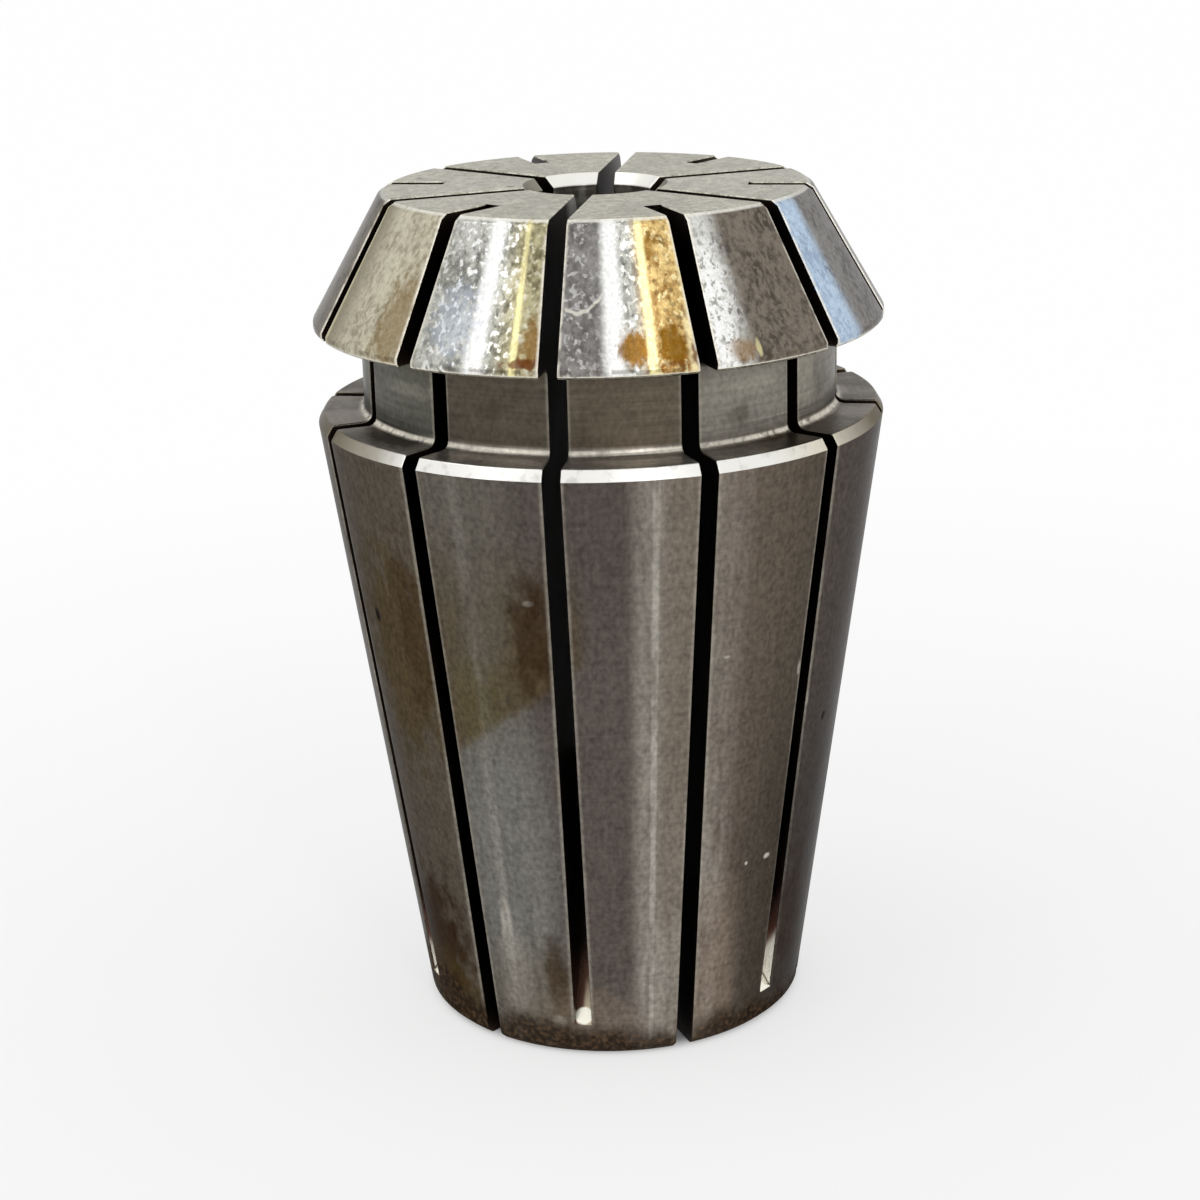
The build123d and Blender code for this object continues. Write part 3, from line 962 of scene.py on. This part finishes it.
class Shell:
    """Collects faces with a normal at every corner, and makes one closed mesh of them."""

    def __init__(self):
        self.groups = []

    def add(self, places, normals, sizes, finishes):
        """Adds a group of faces: all corners in a row, and the size and finish of each face."""
        self.groups.append((places, normals, sizes, finishes))

    def add_grid(self, patch):
        """Adds the kept quads of a grid, wound so that they face along its normals."""

        def corners_of(grid):
            """The four corners of each kept quad."""
            corners = [grid[:-1, :-1], grid[:-1, 1:], grid[1:, 1:], grid[1:, :-1]]
            return np.stack(corners, 2)[patch.keep]

        quads, normals = corners_of(patch.places), corners_of(patch.normals)
        facing = np.cross(quads[:, 2] - quads[:, 0], quads[:, 3] - quads[:, 1])
        wrong = (facing * normals.sum(1)).sum(1) < 0
        quads[wrong] = quads[wrong, ::-1]
        normals[wrong] = normals[wrong, ::-1]
        sizes = np.full(len(quads), 4)
        self.add(quads.reshape(-1, 3), normals.reshape(-1, 3), sizes, patch.finish[patch.keep])

    def add_wall(self, border, normal, finish):
        """Fills a closed border on an upright plane with triangles that face along its normal."""
        across = np.cross(normal, [0, 0, 1])
        flat = [Vector(point) for point in np.column_stack([border @ across, border[:, 2]])]
        filled = delaunay_2d_cdt(flat, [], [list(range(len(flat)))], 1, 1e-6)
        corners = border[np.array(filled[2])]
        facing = np.cross(corners[:, 1] - corners[:, 0], corners[:, 2] - corners[:, 0]) @ normal
        corners[facing < 0] = corners[facing < 0, ::-1]
        count = len(corners)
        normals = np.tile(normal, (3 * count, 1))
        self.add(corners.reshape(-1, 3), normals, np.full(count, 3), np.full(count, finish))

    def copied(self, matrix):
        """Another shell with every place and normal taken through a matrix."""
        other = Shell()
        for places, normals, sizes, finishes in self.groups:
            places, normals = places @ matrix, normals @ matrix
            if np.linalg.det(matrix) < 0:
                ends = np.cumsum(sizes)
                order = [np.arange(end, end - size, -1) - 1 for end, size in zip(ends, sizes)]
                order = np.concatenate(order)
                places, normals = places[order], normals[order]
            other.add(places, normals, sizes, finishes)
        return other

    def mesh(self, name):
        """Joins corners that share a place, drops collapsed ones and sets the normals."""
        places, normals, sizes, finishes = (np.concatenate(group) for group in zip(*self.groups))
        places = places * MM
        off_border = 0.3
        cells = np.rint(places / WELD + off_border).astype(np.int64)
        _, first, index = np.unique(cells, axis=0, return_index=True, return_inverse=True)
        index = index.reshape(-1)
        ends = np.cumsum(sizes)
        face_of = np.repeat(np.arange(len(sizes)), sizes)
        previous = np.arange(len(index)) - 1
        previous[ends - sizes] = ends - 1
        kept = index != index[previous]
        sizes = np.bincount(face_of[kept], minlength=len(sizes))
        whole = sizes > 2
        kept &= whole[face_of]
        index, normals = index[kept], normals[kept]
        sizes, finishes = sizes[whole], finishes[whole]
        used, index = np.unique(index, return_inverse=True)
        mesh = bpy.data.meshes.new(name)
        mesh.vertices.add(len(used))
        mesh.vertices.foreach_set("co", places[first[used]].ravel())
        mesh.loops.add(len(index))
        mesh.loops.foreach_set("vertex_index", index.astype(np.int32))
        mesh.polygons.add(len(sizes))
        mesh.polygons.foreach_set("loop_start", (np.cumsum(sizes) - sizes).astype(np.int32))
        mesh.polygons.foreach_set("material_index", finishes.astype(np.int32))
        mesh.update(calc_edges=True)
        mesh.polygons.foreach_set("use_smooth", np.ones(len(sizes), bool))
        mesh.normals_split_custom_set(normals / np.linalg.norm(normals, axis=1)[:, None])
        return mesh


def slotted_shell():
    """All twelve segments: one sector, its mirror image, and both turned round the axis."""
    patch, front_border, rear_border = turned_patch()
    wall_finish = FINISHES.index(slot_wall)
    kept = np.ones((RUNOUT_STEPS, 2), bool)
    floor_finish = np.full(kept.shape, FINISHES.index(saw_runout))
    sector = Shell()
    sector.add_grid(patch)
    outer = taper_radius(FRONT_SLOT_END)
    places, normals = saw_floor(FRONT_CENTRE, outer, RELIEF_RADIUS, -1)
    sector.add_grid(Patch(places, normals, kept, floor_finish))
    wall = np.concatenate([front_border, places[::-1, 2][1:-1]])
    sector.add_wall(wall, np.array([-1.0, 0, 0]), wall_finish)
    mirror = mirrored(SECTOR / 2)
    places, normals = saw_floor(REAR_CENTRE, REAR_SLOT_END, BORE_RADIUS, 1)
    places, normals = places @ mirror, normals @ mirror
    sector.add_grid(Patch(places, normals, kept, floor_finish))
    wall = np.concatenate([rear_border, places[:, 2][1:-1]])
    sector.add_wall(wall, np.array([math.cos(SECTOR), math.sin(SECTOR), 0]), wall_finish)
    shell = Shell()
    for index in range(SLOTS_PER_END):
        for flip in (np.eye(3), mirrored(0)):
            shell.groups += sector.copied(flip @ turned(2 * SECTOR * index)).groups
    return shell


def put(name, data):
    """Puts a mesh, lamp or camera in the scene."""
    thing = bpy.data.objects.new(name, data)
    bpy.context.scene.collection.objects.link(thing)
    return thing


def make_collet():
    """The whole collet as one closed piece, in place of its plain solid."""
    mesh = slotted_shell().mesh("slotted_collet")
    for finish in FINISHES:
        mesh.materials.append(finish())
    piece = put("slotted_collet", mesh)
    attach(piece, "root")
    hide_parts("collet")


# -- floor, light and camera
def pale_floor():
    """Matt near-white floor, shown as even white outside the tail, the more so further out."""
    f = Finish("pale_floor")
    feed(f.shader.inputs["Base Color"], (0.9, 0.9, 0.9, 1.0))
    feed(f.shader.inputs["Roughness"], 0.9)
    white = {"Color": (1.0, 1.0, 1.0, 1.0), "Strength": 1.0}
    glow = f.node("ShaderNodeEmission", {}, white)[0]
    surface = Field(f.shader.outputs[0])
    evenness = 0.62 + f.rise(f.radius, 20, 90) * 0.35
    share = f.seen() * f.rise(f.radius, 6.4, 7.6) * evenness
    both = f.node("ShaderNodeMixShader", {}, {0: share, 1: surface, 2: glow})[0]
    feed(f.tree.nodes["Material Output"].inputs["Surface"], both)
    return f.material


def make_floor():
    """A wide pale floor under the collet."""
    reach = 3.0
    mesh = bpy.data.meshes.new("floor")
    corners = [(x * reach, y * reach, 0) for x, y in ((-1, -1), (1, -1), (1, 1), (-1, 1))]
    mesh.from_pydata(corners, [], [(0, 1, 2, 3)])
    mesh.materials.append(pale_floor())
    floor = put("floor", mesh)


def soft_lamp(name, azimuth, height, distance, width, depth, brightness):
    """A rectangular soft lamp round the collet, in degrees and metres, turned to its middle.

    Its power is brightness times pi times its area, so brightness is how white it looks.
    """
    angle = math.radians(azimuth)
    place = Vector((distance * math.sin(angle), -distance * math.cos(angle), height))
    light = bpy.data.lights.new(name, "AREA")
    light.shape, light.size, light.size_y = "RECTANGLE", width, depth
    light.energy = brightness * math.pi * width * depth
    lamp = put(name, light)
    lamp.location = place
    middle = Vector((0, 0, 0.015))
    lamp.rotation_euler = (middle - place).to_track_quat("-Z", "Y").to_euler()


def make_light():
    """White surroundings that give a little less light than they show, and soft lamps."""
    world = bpy.data.worlds.new("studio")
    bpy.context.scene.world = world
    studio = Nodes(world)
    background = studio.tree.nodes["Background"]
    given = 0.85
    feed(background.inputs["Color"], (1.0, 1.0, 1.0, 1.0))
    feed(background.inputs["Strength"], given + studio.seen() * (1 - given))
    high = dict(height=0.6, distance=0.3, width=0.3, depth=0.3)
    strip = dict(height=0.22, distance=0.4, width=0.03, depth=0.36)
    soft_lamp("high_left", -75, brightness=0.8, **high)
    soft_lamp("right_strip", 30, brightness=5.0, **strip)
    soft_lamp("left_strip", -38, brightness=2.4, **strip)


def make_camera():
    """The camera stands in front, a little to the right and above, and leans slightly."""
    place = Vector((15.767, -93.308, 46.247)) * MM
    aim = Vector((-0.214, -0.037, 15.554)) * MM
    lean = math.radians(-1.488)
    data = bpy.data.cameras.new("camera")
    data.lens, data.sensor_width, data.clip_start = 78.0, 36.0, 0.005
    camera = put("camera", data)
    camera.location = place
    camera.rotation_mode = "QUATERNION"
    straight = (aim - place).to_track_quat("-Z", "Y")
    camera.rotation_quaternion = straight @ Quaternion((0, 0, 1), lean)
    bpy.context.scene.camera = camera


make_collet()
make_floor()
make_light()
make_camera()
bpy.context.scene.view_settings.view_transform = "Standard"
